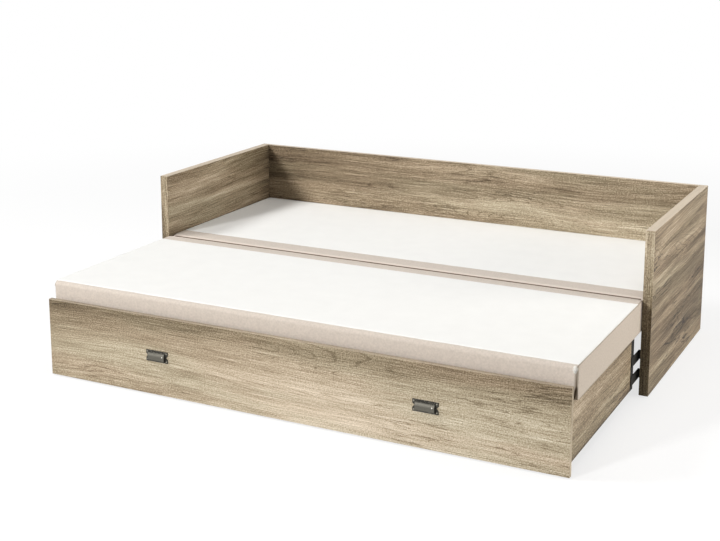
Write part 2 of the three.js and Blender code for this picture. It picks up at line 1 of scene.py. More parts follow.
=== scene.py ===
# %% [markdown]
# # An extendable daybed, dressed in Blender
# The real object is a bed of printed chipboard that pulls out to double width. A frame with a
# back and two sides holds one half of the mattress, a pull-out on castors carries the other
# half, and a fabric hinge joins the two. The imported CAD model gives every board, bracket and
# wheel in its true place. This lesson gives them their finishes, and makes what CAD leaves
# plain: the upholstered halves, the fabric hinge, the handles, the bolt heads of the carriage
# and the small knot at one corner of the mattress.

import contextlib
import json
import math

import bmesh
import bpy
from mathutils import Matrix, Vector, noise


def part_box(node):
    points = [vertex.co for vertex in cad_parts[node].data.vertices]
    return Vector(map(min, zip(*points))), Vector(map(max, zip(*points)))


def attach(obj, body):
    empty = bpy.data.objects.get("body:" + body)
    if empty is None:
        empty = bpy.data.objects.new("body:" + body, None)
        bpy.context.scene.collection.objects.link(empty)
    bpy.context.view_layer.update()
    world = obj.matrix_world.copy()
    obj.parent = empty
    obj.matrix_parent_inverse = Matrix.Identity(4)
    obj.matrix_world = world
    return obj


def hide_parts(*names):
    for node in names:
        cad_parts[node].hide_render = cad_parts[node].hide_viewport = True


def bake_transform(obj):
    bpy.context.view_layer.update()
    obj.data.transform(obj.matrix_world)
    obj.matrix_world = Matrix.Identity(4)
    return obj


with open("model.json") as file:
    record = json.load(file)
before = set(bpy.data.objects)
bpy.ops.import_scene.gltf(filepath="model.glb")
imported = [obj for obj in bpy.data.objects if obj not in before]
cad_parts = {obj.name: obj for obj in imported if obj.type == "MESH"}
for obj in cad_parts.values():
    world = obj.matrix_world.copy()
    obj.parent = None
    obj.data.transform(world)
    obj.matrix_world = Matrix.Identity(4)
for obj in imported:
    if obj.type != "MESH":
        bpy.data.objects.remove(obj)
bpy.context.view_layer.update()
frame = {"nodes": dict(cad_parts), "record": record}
nodes = frame["nodes"]

# %% [markdown]
# ## Camera
# The photograph was taken from the front right, a little above the bed. A camera could be
# placed by eye, but then nothing lines up, so it was fitted to the bed's own corners at their
# real size. A downward shift of the lens keeps the upright edges nearly parallel, as they are
# in the picture.

# %% Set up the camera
IMAGE_WIDTH = 720
FOCAL_PIXELS = 1297.2
CAMERA_PLACE = (2.0967, -4.3741, 1.7193)
CAMERA_TURN = math.radians(26.85)
CAMERA_TILT = math.radians(11.55)
LENS_SHIFT = -0.14

camera_data = bpy.data.cameras.new("camera")
camera_data.sensor_width = 36
camera_data.lens = FOCAL_PIXELS / IMAGE_WIDTH * camera_data.sensor_width
camera_data.shift_y = LENS_SHIFT
camera = bpy.data.objects.new("camera", camera_data)
camera.location = CAMERA_PLACE
camera.rotation_euler = (math.pi / 2 - CAMERA_TILT, 0, CAMERA_TURN)
bpy.context.collection.objects.link(camera)
bpy.context.scene.camera = camera
print("lens, in millimetres:", round(camera_data.lens, 1))

# %% [markdown]
# ## Helpers for finishes
# A finish is a small tree of shader nodes. It could be wired by hand, but a recipe in code can
# be read, measured and used again. These helpers fill a node's sockets (another node's output
# is linked, a plain value is set), add a node to the tree of its inputs, start a finish, and
# put a finish on a CAD node.


# %% Add a node and fill its sockets
def fill(made, sockets):
    """Links each socket to another node's output, or sets it to a plain value."""
    for key, value in sockets.items():
        if isinstance(value, bpy.types.NodeSocket):
            made.id_data.links.new(value, made.inputs[key])
        else:
            made.inputs[key].default_value = value


def home(values):
    """The tree that these values live in."""
    return next(v.id_data for v in values if isinstance(v, bpy.types.NodeSocket))


def put(kind, sockets=None, tree=None, **settings):
    tree = tree or home(sockets.values())
    made = tree.nodes.new("ShaderNode" + kind)
    for key, value in settings.items():
        setattr(made, key, value)
    fill(made, sockets or {})
    return made


def new_finish(name):
    """A material with one plain surface shader, and that shader to work on."""
    material = bpy.data.materials.new(name)
    material.use_nodes = True
    return material, material.node_tree.nodes["Principled BSDF"]


def wear(node_name, material):
    """Puts a finish on a CAD node. Only its material slots are touched."""
    for place in nodes[node_name].material_slots:
        place.material = material


print("CAD nodes to finish:", len(nodes))

# %% [markdown]
# ## The sums in a finish
# A finish multiplies numbers, cuts them off and mixes colours, and each of these sums is one
# shader node. They could be put in one by one, but with a name for each the recipes below are
# short and can be read aloud.


# %% Name the sums
def calc(operation, a, b=0.0, c=0.0):
    return put("Math", {0: a, 1: b, 2: c}, operation=operation).outputs[0]


def times(a, b):
    return calc("MULTIPLY", a, b)


def scaled(value, by, plus):
    return calc("MULTIPLY_ADD", value, by, plus)


def rest_of(share):
    return calc("SUBTRACT", 1.0, share)


def between(value, low, high):
    """0 below low, 1 above high, and a soft rise between."""
    sockets = {"Value": value, "From Min": low, "From Max": high}
    return put("MapRange", sockets, interpolation_type="SMOOTHSTEP").outputs[0]


def mixed(share, a, b, blend="MIX"):
    sockets = {0: share, 6: a, 7: b}
    return put("Mix", sockets, data_type="RGBA", blend_type=blend).outputs[2]


def ramp(value, stops):
    """A colour for each value, read from (place, colour) stops."""
    made = put("ValToRGB", {"Fac": value})
    elements = made.color_ramp.elements
    while len(elements) < len(stops):
        elements.new(0.5)
    for element, (place, colour) in zip(elements, stops):
        element.position = place
        element.color = (*colour, 1)
    return made.outputs["Color"]


print("sums:", [f.__name__ for f in (calc, times, scaled, rest_of, between, mixed, ramp)])

# %% [markdown]
# ## Place, facing and relief
# A finish has to know where on the piece it is and which way the face looks. A flat layout of
# the piece could say so, but it stretches. The piece's own coordinates are in metres already,
# so grain and weave keep their true size.

# %% Read the place, and add relief
# a face looks along an axis when that part of its normal is over this
SQUARE_ON = 0.5


def split(vector):
    return put("SeparateXYZ", {0: vector}).outputs


def joined(x, y, z):
    return put("CombineXYZ", {0: x, 1: y, 2: z}).outputs[0]


def place_and_facing(surface):
    """The point itself, its three coordinates, and the three parts of its normal."""
    here = put("TexCoord", tree=surface.id_data).outputs
    return here["Object"], split(here["Object"]), split(here["Normal"])


def even_noise(spot, scale, detail, roughness=0.5):
    sockets = {"Vector": spot, "Scale": scale, "Detail": detail, "Roughness": roughness}
    return put("TexNoise", sockets).outputs["Fac"]


def bumped(surface, height, distance, strength=0.5):
    sockets = {"Height": height, "Distance": distance, "Strength": strength}
    fill(surface, {"Normal": put("Bump", sockets).outputs[0]})


print("square on an axis from:", SQUARE_ON)

# %% [markdown]
# ## Weathered oak
# The boards are chipboard under a printed decor of old, greyed oak. A photograph of oak could
# be wrapped round them, but it would repeat and stretch. Stretched noise gives a print without
# end instead: broad clouds for the tone, long streaks, fine fibres and a speckle, and on top
# of them growth rings, short dark checks and a few knots. Each layer is one noise, squeezed
# across the grain.

# %% Find the grain of a board
# each layer: scale along the grain, scale across it, detail, roughness
GRAIN = {
    "wander": (1.1, 3.0, 1.0, 0.5),
    "clouds": (1.0, 5.0, 3.0, 0.55),
    "streaks": (1.0, 24.0, 6.0, 0.55),
    "fibres": (6.0, 300.0, 3.0, 0.6),
    "speckle": (200.0, 270.0, 2.5, 0.6),
    "figure": (0.60, 6.5, 1.5, 0.45),
    "ring_patch": (1.3, 6.0, 2.0, 0.5),
    "checks": (2.4, 34.0, 4.0, 0.55),
    "check_patch": (1.6, 7.0, 2.0, 0.5),
    "hue": (1.3, 8.0, 3.0, 0.5),
}
WANDER = 0.09


def squeezed(place, along, across):
    """The place, scaled by one factor along the grain and another across it."""
    sockets = {0: place, 1: (along, across, across)}
    return put("VectorMath", sockets, operation="MULTIPLY").outputs["Vector"]


def grain_noise(place, layer):
    along, across, detail, roughness = GRAIN[layer]
    return even_noise(squeezed(place, along, across), 1.0, detail, roughness)


def moved(place, by):
    return put("VectorMath", {0: place, 1: by}, operation="ADD").outputs[0]


def place_in_print(axes, along, through, end, start):
    """Where a point lies in the print: grain first, turned on the cut ends, and wandering."""
    flat, upright = joined(along, through, axes[2]), joined(axes[2], through, along)
    place = moved(mixed(end, flat, upright), start)
    wander = times(grain_noise(place, "wander"), WANDER)
    return moved(place, joined(0.0, 0.0, wander))


print("grain layers:", sorted(GRAIN))

# %% [markdown]
# ## Rings, checks and knots
# Old oak has thin growth lines in patches, short dark cracks along the grain, and now and then
# a knot. They could be drawn one by one, but lines fall out of noise as well: where a smooth
# noise crosses a set value there is a line, and a second, slower noise says where the board
# has such lines at all. The knots are the middles of a few stretched Voronoi cells.

# %% Draw the dark lines
RINGS = 150.0
RING_WIDTH, RING_PATCH = (0.0, 0.45), (0.48, 0.62)
CHECK_WIDTH, CHECK_PATCH = (0.004, 0.02), (0.52, 0.64)
KNOT_SPACING = (2.2, 7.5)
KNOT_REACH = 0.16
KNOTLESS = 0.60


def line_in_patches(place, field, width, patch_layer, patch):
    """1 where the field crosses zero, but only where the slow patch noise allows the line."""
    line = rest_of(between(calc("ABSOLUTE", field), *width))
    return times(line, between(grain_noise(place, patch_layer), *patch))


def hairlines_of(place):
    waves = calc("SINE", times(grain_noise(place, "figure"), RINGS))
    return line_in_patches(place, waves, RING_WIDTH, "ring_patch", RING_PATCH)


def checks_of(place):
    field = calc("SUBTRACT", grain_noise(place, "checks"), 0.5)
    return line_in_patches(place, field, CHECK_WIDTH, "check_patch", CHECK_PATCH)


def knots_of(place):
    spread = squeezed(place, *KNOT_SPACING)
    cells = put("TexVoronoi", {"Vector": spread, "Scale": 1.0}).outputs
    near = rest_of(between(cells["Distance"], 0.0, KNOT_REACH))
    chance = put("SeparateColor", {0: cells["Color"]}).outputs[0]
    return times(near, calc("GREATER_THAN", chance, KNOTLESS))


print("share of cells with a knot:", 1 - KNOTLESS)

# %% [markdown]
# ## From layers to wood
# All layers add up to one lightness, and a colour ramp turns that into wood. A single brown
# made lighter and darker would be simpler, but in a real print dark and light places differ in
# hue too. Each layer has a weight, and the dark lines have a weight below zero.

# %% Add the layers up and colour them
OAK_STOPS = (
    (0.00, (0.020, 0.013, 0.008)),
    (0.20, (0.085, 0.060, 0.036)),
    (0.38, (0.200, 0.152, 0.095)),
    (0.54, (0.360, 0.290, 0.198)),
    (0.70, (0.560, 0.477, 0.358)),
    (0.86, (0.745, 0.660, 0.535)),
    (1.00, (0.870, 0.790, 0.680)),
)
OLIVE_TINT, RUSSET_TINT = (0.985, 1.0, 0.975, 1), (1.020, 0.985, 0.965, 1)
HUE_DRIFT = (0.38, 0.62)
CLOUDS, STREAKS, FIBRES, SPECKLE = 0.42, 0.58, 0.74, 0.82
HAIRLINES, CHECKS, KNOTS = -0.12, -0.24, -0.34
SPECKLE_RELIEF, CHECK_RELIEF = 0.4, -1.2


def light_and_relief(place, level, contrast):
    """The lightness of the print, its streaks, and the height of its skin."""
    clouds, streaks, fibres, speckle = (
        grain_noise(place, layer) for layer in ("clouds", "streaks", "fibres", "speckle"))
    checks = checks_of(place)
    layers = [(clouds, CLOUDS * contrast), (streaks, STREAKS * contrast),
              (fibres, FIBRES), (speckle, SPECKLE)]
    lines = [(hairlines_of(place), HAIRLINES), (checks, CHECKS * contrast),
             (knots_of(place), KNOTS * contrast)]
    light = level - 0.5 * sum(weight for _, weight in layers)
    for layer, weight in layers + lines:
        light = scaled(layer, weight, light)
    fine = calc("ADD", fibres, times(speckle, SPECKLE_RELIEF))
    return light, streaks, scaled(checks, CHECK_RELIEF, fine)


def tinted(place, wood):
    """Lets the wood drift between an olive and a russet tint."""
    share = between(grain_noise(place, "hue"), *HUE_DRIFT)
    return mixed(1.0, wood, mixed(share, OLIVE_TINT, RUSSET_TINT), "MULTIPLY")


print("oak ramp stops:", len(OAK_STOPS))

# %% [markdown]
# ## One recipe for every board
# The boards of one bed come from one long print and differ in tone. Each could have a finish
# of its own, but one recipe serves them all: a board has its own start in the print, its own
# level and contrast, and stops that say, in metres up its height or along its length, how much
# lighter or darker it is there. The stops hold the print's own tone and also painted shade,
# darker near the mattress, the floor and the corners where the boards shade each other. The
# thin edge bands are a plainer, pinker strip, and they show on the top edges and the ends.

# %% Make the oak decor
BAND_PINK = (0.640, 0.545, 0.430, 1)
OAK_RELIEF = 0.0004


def shaded(light, stops, axis):
    """Changes the lightness along one axis, as stops of (place, change) say: print tone and
    painted shade.
    """
    first, last = stops[0][0], stops[-1][0]
    sockets = {"Value": axis, "From Min": first, "From Max": last}
    share = put("MapRange", sockets).outputs[0]
    grey = [((at - first) / (last - first), (0.5 + change,) * 3) for at, change in stops]
    return calc("ADD", calc("ADD", light, ramp(share, grey)), -0.5)


def oak_finish(name, grain, start, level, contrast, up_tone_and_shade, along_tone_and_shade=None, banding=0.75):
    """Oak with its grain along x or y. start picks the part of the print."""
    material, surface = new_finish(name)
    _, axes, facing = place_and_facing(surface)
    first, second = (0, 1) if grain == "x" else (1, 0)
    end = calc("GREATER_THAN", calc("ABSOLUTE", facing[first]), SQUARE_ON)
    edge = calc("GREATER_THAN", facing[2], SQUARE_ON)
    if grain == "x":
        edge = calc("MAXIMUM", edge, end)
    place = place_in_print(axes, axes[first], axes[second], end, start)

    light, streaks, relief = light_and_relief(place, level, contrast)
    # the stops up and along the board: the print's own tone and painted shade
    light = shaded(light, up_tone_and_shade, axes[2])
    if along_tone_and_shade:
        light = shaded(light, along_tone_and_shade, axes[first])
    wood = tinted(place, ramp(light, OAK_STOPS))
    band = mixed(banding, wood, BAND_PINK)
    fill(surface, {"Base Color": mixed(edge, wood, band),
                   "Roughness": scaled(streaks, -0.25, 0.68),
                   "Specular IOR Level": 0.2})
    bumped(surface, relief, OAK_RELIEF)
    return material


print("edge band, linear:", BAND_PINK[:3])


# %% Lay the decor on the boards
# each board's stops: print tone, and painted shade near the mattress, the floor and the corners
wear("drawer_front", oak_finish(
    "oak_front", "x", (0.0, 0.0, 0.0), 0.535, 0.65,
    up_tone_and_shade=((0.005, 0.06), (0.05, 0.09), (0.15, 0.06), (0.21, -0.02), (0.26, -0.10),
              (0.295, -0.16)),
    along_tone_and_shade=((-1.0, -0.07), (-0.45, -0.01), (0.0, 0.08), (0.28, 0.10), (0.5, 0.05),
                 (1.0, 0.01)),
    banding=0.3))
wear("back_panel", oak_finish(
    "oak_back", "x", (7.3, 0.0, 2.1), 0.50, 0.75,
    up_tone_and_shade=((0.35, 0.04), (0.42, 0.04), (0.53, -0.09), (0.61, -0.11)),
    along_tone_and_shade=((-1.0, -0.17), (-0.7, -0.10), (-0.2, -0.03), (0.3, 0.0), (1.0, 0.02))))
wear("side_panel_left", oak_finish(
    "oak_side_left", "y", (3.1, 1.0, 5.2), 0.47, 1.2,
    up_tone_and_shade=((0.0, 0.0), (0.35, -0.14), (0.40, -0.05), (0.48, 0.01), (0.61, -0.03)),
    along_tone_and_shade=((0.0, 0.02), (0.35, 0.0), (0.6, -0.04), (0.82, -0.14))))
wear("side_panel_right", oak_finish(
    "oak_side_right", "y", (12.4, 2.0, 8.7), 0.36, 1.4,
    up_tone_and_shade=((0.0, -0.02), (0.1, -0.02), (0.3, -0.08), (0.52, 0.08), (0.61, 0.12)),
    along_tone_and_shade=((0.0, 0.03), (0.82, -0.03))))
for side, start in (("left", (3.1, 1.0, 9.2)), ("right", (12.4, 2.0, 12.7))):
    wear(f"drawer_side_{side}", oak_finish(
        f"oak_drawer_{side}", "y", start, 0.47, 1.0,
        up_tone_and_shade=((0.04, -0.22), (0.055, -0.06), (0.09, 0.0), (0.24, 0.04))))
print("oak finishes:", [m.name for m in bpy.data.materials if m.name.startswith("oak")])

# %% [markdown]
# ## Bare plywood
# The boards under and inside the bed are plain birch plywood. One pale colour would do from
# afar, but their cut edges show from below. So the faces get a faint straight grain, and the
# edges show the plies as thin stripes, across the thinnest side of each board.

# %% Make the plywood
PLY = 0.0028
PLY_FACE = ((0.3, (0.47, 0.34, 0.20)), (0.5, (0.62, 0.48, 0.31)), (0.7, (0.72, 0.59, 0.41)))
PLY_CUT = ((0.0, (0.34, 0.22, 0.12)), (1.0, (0.60, 0.45, 0.28)))
PLY_AXIS_OF = {"base_board": "z", "ledger": "z", "drawer_inner": "x", "drawer_bearer": "x",
               "centre_partition": "x", "drawer_back": "y"}
PLY_LAID = {"x": (1, 0, 2), "y": (0, 1, 2), "z": (0, 2, 1)}
GRAIN.update({"ply_grain": (2.0, 34.0, 5.0, 0.6), "ply_fibres": (14.0, 420.0, 3.0, 0.6)})


def plywood_finish(ply_axis):
    material, surface = new_finish(f"plywood_{ply_axis}")
    _, axes, facing = place_and_facing(surface)
    laid = joined(*(axes[a] for a in PLY_LAID[ply_axis]))
    grain, fibres = grain_noise(laid, "ply_grain"), grain_noise(laid, "ply_fibres")
    face = ramp(scaled(fibres, 0.35, times(grain, 0.65)), PLY_FACE)
    across = "xyz".index(ply_axis)
    stripes = calc("SINE", times(axes[across], 2 * math.pi / PLY))
    cut = ramp(between(stripes, -0.4, 0.4), PLY_CUT)
    is_cut = calc("LESS_THAN", calc("ABSOLUTE", facing[across]), SQUARE_ON)
    fill(surface, {"Base Color": mixed(is_cut, face, cut),
                   "Roughness": scaled(grain, 0.2, 0.55)})
    bumped(surface, fibres, 0.0003, 0.4)
    return material


PLYWOOD = {axis: plywood_finish(axis) for axis in "xyz"}
for node_name in nodes:
    for word, axis in PLY_AXIS_OF.items():
        if word in node_name:
            wear(node_name, PLYWOOD[axis])
print("plywood nodes:", sum("plywood" in o.material_slots[0].name for o in nodes.values()))

# %% [markdown]
# ## Steel and plastic fittings
# The carriage, the rails and the brackets are bent steel under black powder coat, which has a
# fine orange-peel skin. Wheels and glides are moulded plastic, and the guide rollers are
# ground steel bearings. Each could have its own recipe, but they differ only in colour, gloss
# and skin, so one recipe makes them all. The record's slots say which part wears which.


# %% Make the metals and plastics
def coated_finish(name, colour, roughness, metallic=0.0, skin=900.0, depth=0.0002, patch=0.25):
    """One colour in faint patches, under an uneven skin."""
    material, surface = new_finish(name)
    spot, _, _ = place_and_facing(surface)
    grit, patches = even_noise(spot, skin, 2.0), even_noise(spot, 40.0, 4.0)
    darker = tuple(c * (1 - patch) for c in colour)
    lighter = tuple(min(1.0, c * (1 + patch)) for c in colour)
    fill(surface, {"Base Color": ramp(patches, ((0.3, darker), (0.7, lighter))),
                   "Roughness": scaled(patches, 0.2, roughness - 0.1),
                   "Metallic": metallic})
    bumped(surface, grit, depth)
    return material


BLACK_STEEL = coated_finish("black_powder_coat", (0.014, 0.013, 0.012), 0.55)
fill(BLACK_STEEL.node_tree.nodes["Principled BSDF"], {"Specular IOR Level": 0.25})
FINISH_OF_SLOT = {
    "black_steel": BLACK_STEEL,
    "bearing_steel": coated_finish("ground_steel", (0.50, 0.50, 0.51), 0.28, 1.0, 2000.0, 0.00005),
    "black_plastic": coated_finish(
        "black_plastic", (0.030, 0.030, 0.031), 0.55, 0.0, 1400.0, 0.0001),
    "grey_nylon": coated_finish("grey_nylon", (0.12, 0.12, 0.125), 0.5, 0.0, 1400.0, 0.0001),
}
for part in frame["record"]["subparts"]:
    if part["material_slot"] in FINISH_OF_SLOT:
        wear(part["node"], FINISH_OF_SLOT[part["material_slot"]])
print("fitting finishes:", sorted(FINISH_OF_SLOT))

# %% [markdown]
# ## Mattress covers
# The cover has a white knitted top and a beige woven border. On the front half the white runs
# up to the rounding of the nose, and on both halves a beige band lies beside the seam. The two
# cloths could be two pieces, but they are sewn flush, so one finish decides by place: white
# between two lines across the bed, and only where the cover faces up.

# %% Find the white part
MATTRESS_TOP = 0.355
WHITE = (0.865, 0.860, 0.835, 1)
BEIGE = (0.610, 0.535, 0.465, 1)
SEW_WIDTH, SEW_SWAY = 0.001, 0.003
FACES_UP = (0.72, 0.80)


def white_part(axes, facing, soft, white_from, white_to):
    """1 between two lines across the bed, on what faces up."""
    here = calc("ADD", axes[1], scaled(soft, SEW_SWAY, -SEW_SWAY / 2))
    front_seam = between(here, white_from, white_from + SEW_WIDTH)
    rear_seam = rest_of(between(here, white_to - SEW_WIDTH, white_to))
    upward = between(facing[2], *FACES_UP)
    return times(times(front_seam, rear_seam), upward)


print("white and beige, linear:", WHITE[:3], BEIGE[:3])

# %% [markdown]
# ## Folds in the border
# At each front corner the border is folded in, and the shade of the fold is painted as a soft
# brown band with a dark line in it. Along the top of the end faces the shade under a thin piping
# is painted as a fine brown line. The fold is modelled below too, but at this size the painted
# shade carries most of it.

# %% Shade the folds
# browns of the painted shade in the corner folds, the creases and under the piping
CREASE_SHADE_BROWN = (0.10, 0.065, 0.040, 1)
FOLD_SHADE_BROWN = (0.27, 0.215, 0.155, 1)
PIPING_SHADE_DEPTH = 0.55
CORNER_ZONE = 0.03
# each painted shade line: full inside this distance, gone outside this one, fades up between
# these two heights, how strong, and its colour
FOLD_SHADE_LINES = (
    (0.004, 0.010, 0.338, 0.350, 0.6, FOLD_SHADE_BROWN),
    (0.001, 0.005, 0.270, 0.340, 1.0, CREASE_SHADE_BROWN),
)


# paints the shade under the piping: a brown line where the end faces round over to the top
def with_piping_shade(beige, facing):
    end_face = between(calc("ABSOLUTE", facing[0]), 0.35, 0.50)
    piping_shade = times(end_face, between(facing[2], 0.20, 0.40))
    return mixed(times(piping_shade, PIPING_SHADE_DEPTH), beige, FOLD_SHADE_BROWN)


# paints the shade of the fold at each front corner: a soft brown band with a dark line in it
def with_fold_shade(beige, axes, corner_x, corner_y):
    away_x = calc("SUBTRACT", calc("ABSOLUTE", axes[0]), corner_x)
    away_y = calc("SUBTRACT", axes[1], corner_y)
    off_fold = calc("ABSOLUTE", calc("ADD", away_x, away_y))
    at_corner = calc("GREATER_THAN", away_x, -CORNER_ZONE)
    for inner, outer, fade_from, fade_to, strength, brown in FOLD_SHADE_LINES:
        line = times(rest_of(between(off_fold, inner, outer)), at_corner)
        line = times(line, rest_of(between(axes[2], fade_from, fade_to)))
        beige = mixed(times(line, strength), beige, brown)
    return beige


print("fold lines:", len(FOLD_SHADE_LINES))

# %% [markdown]
# ## Cover fabric
# The border is a plain weave in a mottled beige, and the top a finer knit. A picture of cloth
# would show its repeats on two metres of mattress. Two crossed waves with the pitch of the
# threads give weave and knit, and noise mottles them.

# %% Make the cover fabric
WEAVE_PITCH = 0.0016
KNIT_PITCH, KNIT_STRETCH = 0.0022, 1.4
WEAVE_SHADE, MOTTLE, WHITE_SHADE = 0.03, (0.36, 0.82), (0.06, 0.97)
FABRIC_RELIEF = 0.0003


def threads(axis, pitch):
    """A wave along one axis that repeats with the thread."""
    return calc("SINE", times(axis, 2 * math.pi / pitch))


def greyed(colour, shade):
    return mixed(1.0, colour, joined(shade, shade, shade), "MULTIPLY")


def cover_finish(name, white_from, white_to, front_corner=None):
    """White between two places along y on the upper side, and beige everywhere else."""
    material, surface = new_finish(name)
    spot, axes, facing = place_and_facing(surface)
    soft, mottle = even_noise(spot, 14.0, 3.0), even_noise(spot, 160.0, 3.0)
    slope = calc("ADD", axes[1], axes[2])
    weave = times(threads(axes[0], WEAVE_PITCH), threads(slope, WEAVE_PITCH))
    knit = times(threads(axes[0], KNIT_PITCH), threads(axes[1], KNIT_PITCH * KNIT_STRETCH))

    shade = scaled(weave, WEAVE_SHADE, scaled(mottle, *MOTTLE))
    # the beige border, with the painted shade of the piping and of the corner folds
    beige = with_piping_shade(greyed(BEIGE, shade), facing)
    if front_corner:
        beige = with_fold_shade(beige, axes, *front_corner)
    pale = greyed(WHITE, scaled(soft, *WHITE_SHADE))
    white = white_part(axes, facing, soft, white_from, white_to)
    fill(surface, {"Base Color": mixed(white, beige, pale), "Roughness": 0.9,
                   "Specular IOR Level": 0.2, "Sheen Weight": 0.15, "Sheen Roughness": 0.5})
    height = put("Mix", {0: white, 2: weave, 3: knit}, data_type="FLOAT").outputs[0]
    bumped(surface, height, FABRIC_RELIEF)
    return material


print("threads to a centimetre:", round(0.01 / WEAVE_PITCH, 1), round(0.01 / KNIT_PITCH, 1))

# %% [markdown]
# ## Foam halves
# Each half of the mattress is a foam block in a sewn cover, with a flat, slightly crowned top
# and a rounded nose in front. It could be sculpted, or stay the plain block of the CAD model,
# but a cube with bevelled edges already gives the block: each long edge has its own radius,
# and one more bevel rounds the rims of the two ends.

# %% Shape the foam block
CLOSE = 1e-5
LONG_STEPS, END_STEPS = 6, 5


def new_piece(name, shape, *finishes):
    """Makes a bmesh an object at the origin, with its place in its mesh."""
    mesh = bpy.data.meshes.new(name)
    shape.to_mesh(mesh)
    shape.free()
    piece = bpy.data.objects.new(name, mesh)
    bpy.context.collection.objects.link(piece)
    for finish in finishes:
        mesh.materials.append(finish)
    return piece


def rounded(shape, edges, radius, segments):
    bmesh.ops.bevel(shape, geom=edges, offset=radius, segments=segments, profile=0.5,
                    affect="EDGES", material=-1)


def foam_block(name, low, high, nose, rear, under, side):
    """A closed block with a radius for each long edge and one for its ends."""
    shape = bmesh.new()
    bmesh.ops.create_cube(shape, size=1.0)
    bmesh.ops.scale(shape, vec=[b - a for a, b in zip(low, high)], verts=shape.verts)
    bmesh.ops.translate(shape, vec=[(a + b) / 2 for a, b in zip(low, high)], verts=shape.verts)
    long_edges = ((low[1], high[2], nose), (high[1], high[2], rear),
                  (low[1], low[2], under), (high[1], low[2], under))
    for y, z, radius in long_edges:
        along = [e for e in shape.edges if all(
            abs(v.co.y - y) < CLOSE and abs(v.co.z - z) < CLOSE for v in e.verts)]
        rounded(shape, along, radius, LONG_STEPS)
    ends = [f for f in shape.faces if abs(f.normal.x) > 0.99]
    rounded(shape, list({e for f in ends for e in f.edges}), side, END_STEPS)
    bmesh.ops.recalc_face_normals(shape, faces=shape.faces)
    return new_piece(name, shape)


size = [round(b - a, 3) for a, b in zip(*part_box("front_mattress"))]
print("the front half, in metres:", size)

# %% [markdown]
# ## Letting the cover settle
# A cover is never as even as a bevelled block. Its swelling could be drawn with a few moved
# points, but cloth does it better by itself: the block is rebuilt as an even mesh, and a short
# simulation with a little pressure inside lets it settle. No point may travel further than a
# set cap, or leave the space set aside for the half.

# %% Settle the cover as cloth
VOXEL = 0.0135
CLOTH = {"quality": 4, "mass": 0.5, "tension_stiffness": 60, "compression_stiffness": 60,
         "bending_stiffness": 2.0, "use_pressure": True, "uniform_pressure_force": 0.12}
CLOTH_FRAMES = 20
CAP = 0.006


def bake_modifiers(piece):
    """Keeps the mesh as its modifiers show it, and takes them off."""
    shown = piece.evaluated_get(bpy.context.evaluated_depsgraph_get())
    mesh = bpy.data.meshes.new_from_object(shown)
    piece.modifiers.clear()
    piece.data = mesh
    return mesh


def add_cloth(piece):
    cloth = piece.modifiers.new("cloth", "CLOTH")
    for key, value in CLOTH.items():
        setattr(cloth.settings, key, value)
    cloth.settings.effector_weights.gravity = 0
    cloth.collision_settings.use_collision = False


def cap_travel(piece, mesh, start):
    travels = []
    for vertex, place in zip(mesh.vertices, start):
        travel = vertex.co - place
        travels.append(travel.length)
        if travel.length > CAP:
            vertex.co = place + travel * (CAP / travel.length)
    most, mean = max(travels), sum(travels) / len(travels)
    print(piece.name, "moved, in mm: most", round(most * 1000, 1), "mean", round(mean * 1000, 1))


def keep_inside(vertex, low, high):
    for axis in range(3):
        vertex.co[axis] = min(max(vertex.co[axis], low[axis]), high[axis])


def settle_cover(piece, low, high):
    """Even mesh, then a few frames of cloth, with each point's travel capped."""
    grid = piece.modifiers.new("even mesh", "REMESH")
    grid.mode = "VOXEL"
    grid.voxel_size = VOXEL
    mesh = bake_modifiers(piece)
    start = [v.co.copy() for v in mesh.vertices]
    add_cloth(piece)
    for number in range(1, CLOTH_FRAMES + 1):
        bpy.context.scene.frame_set(number)
    mesh = bake_modifiers(piece)
    bpy.context.scene.frame_set(1)
    cap_travel(piece, mesh, start)
    smooth = piece.modifiers.new("finer mesh", "SUBSURF")
    smooth.levels = smooth.render_levels = 1
    mesh = bake_modifiers(piece)
    for vertex in mesh.vertices:
        keep_inside(vertex, low, high)


print("cloth frames:", CLOTH_FRAMES, "travel cap, in metres:", CAP)

# %% [markdown]
# ## Crisp borders
# The stiff seams of a fitted cover draw its edges out into crisp corners. Smaller bevels would
# be lost in the even mesh, so each point near an edge is moved instead, from its place on a
# round corner to its place on a nearly square one.

# %% Draw the edges outward
SEAM_CLEAR = 0.022


def sharpen_edges(piece, low, high, soft_nose, reach=0.011, power=6):
    """Draws the rounded edges outward, up to reach from each side of the box."""
    centre = [(a + b) / 2 for a, b in zip(low, high)]
    for vertex in piece.data.vertices:
        past = [max(0.0, (abs(v - middle) - (b - a) / 2 + reach) / reach)
                for v, middle, a, b in zip(vertex.co, centre, low, high)]
        if soft_nose and vertex.co.y < low[1] + reach and vertex.co.z > high[2] - reach:
            past[1] *= max(0.0, 1 - past[2])
        at_seam = abs(vertex.co.y) < SEAM_CLEAR and vertex.co.z > high[2] - SEAM_CLEAR
        if sum(p > 0 for p in past) < 2 or at_seam:
            continue
        round_size = math.sqrt(sum(p * p for p in past))
        square_size = sum(p ** power for p in past) ** (1 / power)
        for axis in range(3):
            if past[axis] > 0:
                shift = past[axis] * (round_size / square_size - 1) * reach
                vertex.co[axis] += math.copysign(shift, vertex.co[axis] - centre[axis])
        keep_inside(vertex, low, high)


print("left round at the seam, in metres:", SEAM_CLEAR)

# %% [markdown]
# ## Folds and sewn lines
# The border is folded in at the front corners, and a fine line is pressed where white meets
# beige. Colour alone could show both, but they catch the light. The even mesh has no points
# where they lie, so rows of edges are cut there first, and the points beside them drawn in.

# %% Fold the corners and sew the lines
TUCK_TOP, TUCK_FADE = 0.345, 0.02
NEAR_TOP = 0.02
FINE_MERGE, LINE_MERGE = 0.0008, 0.0015


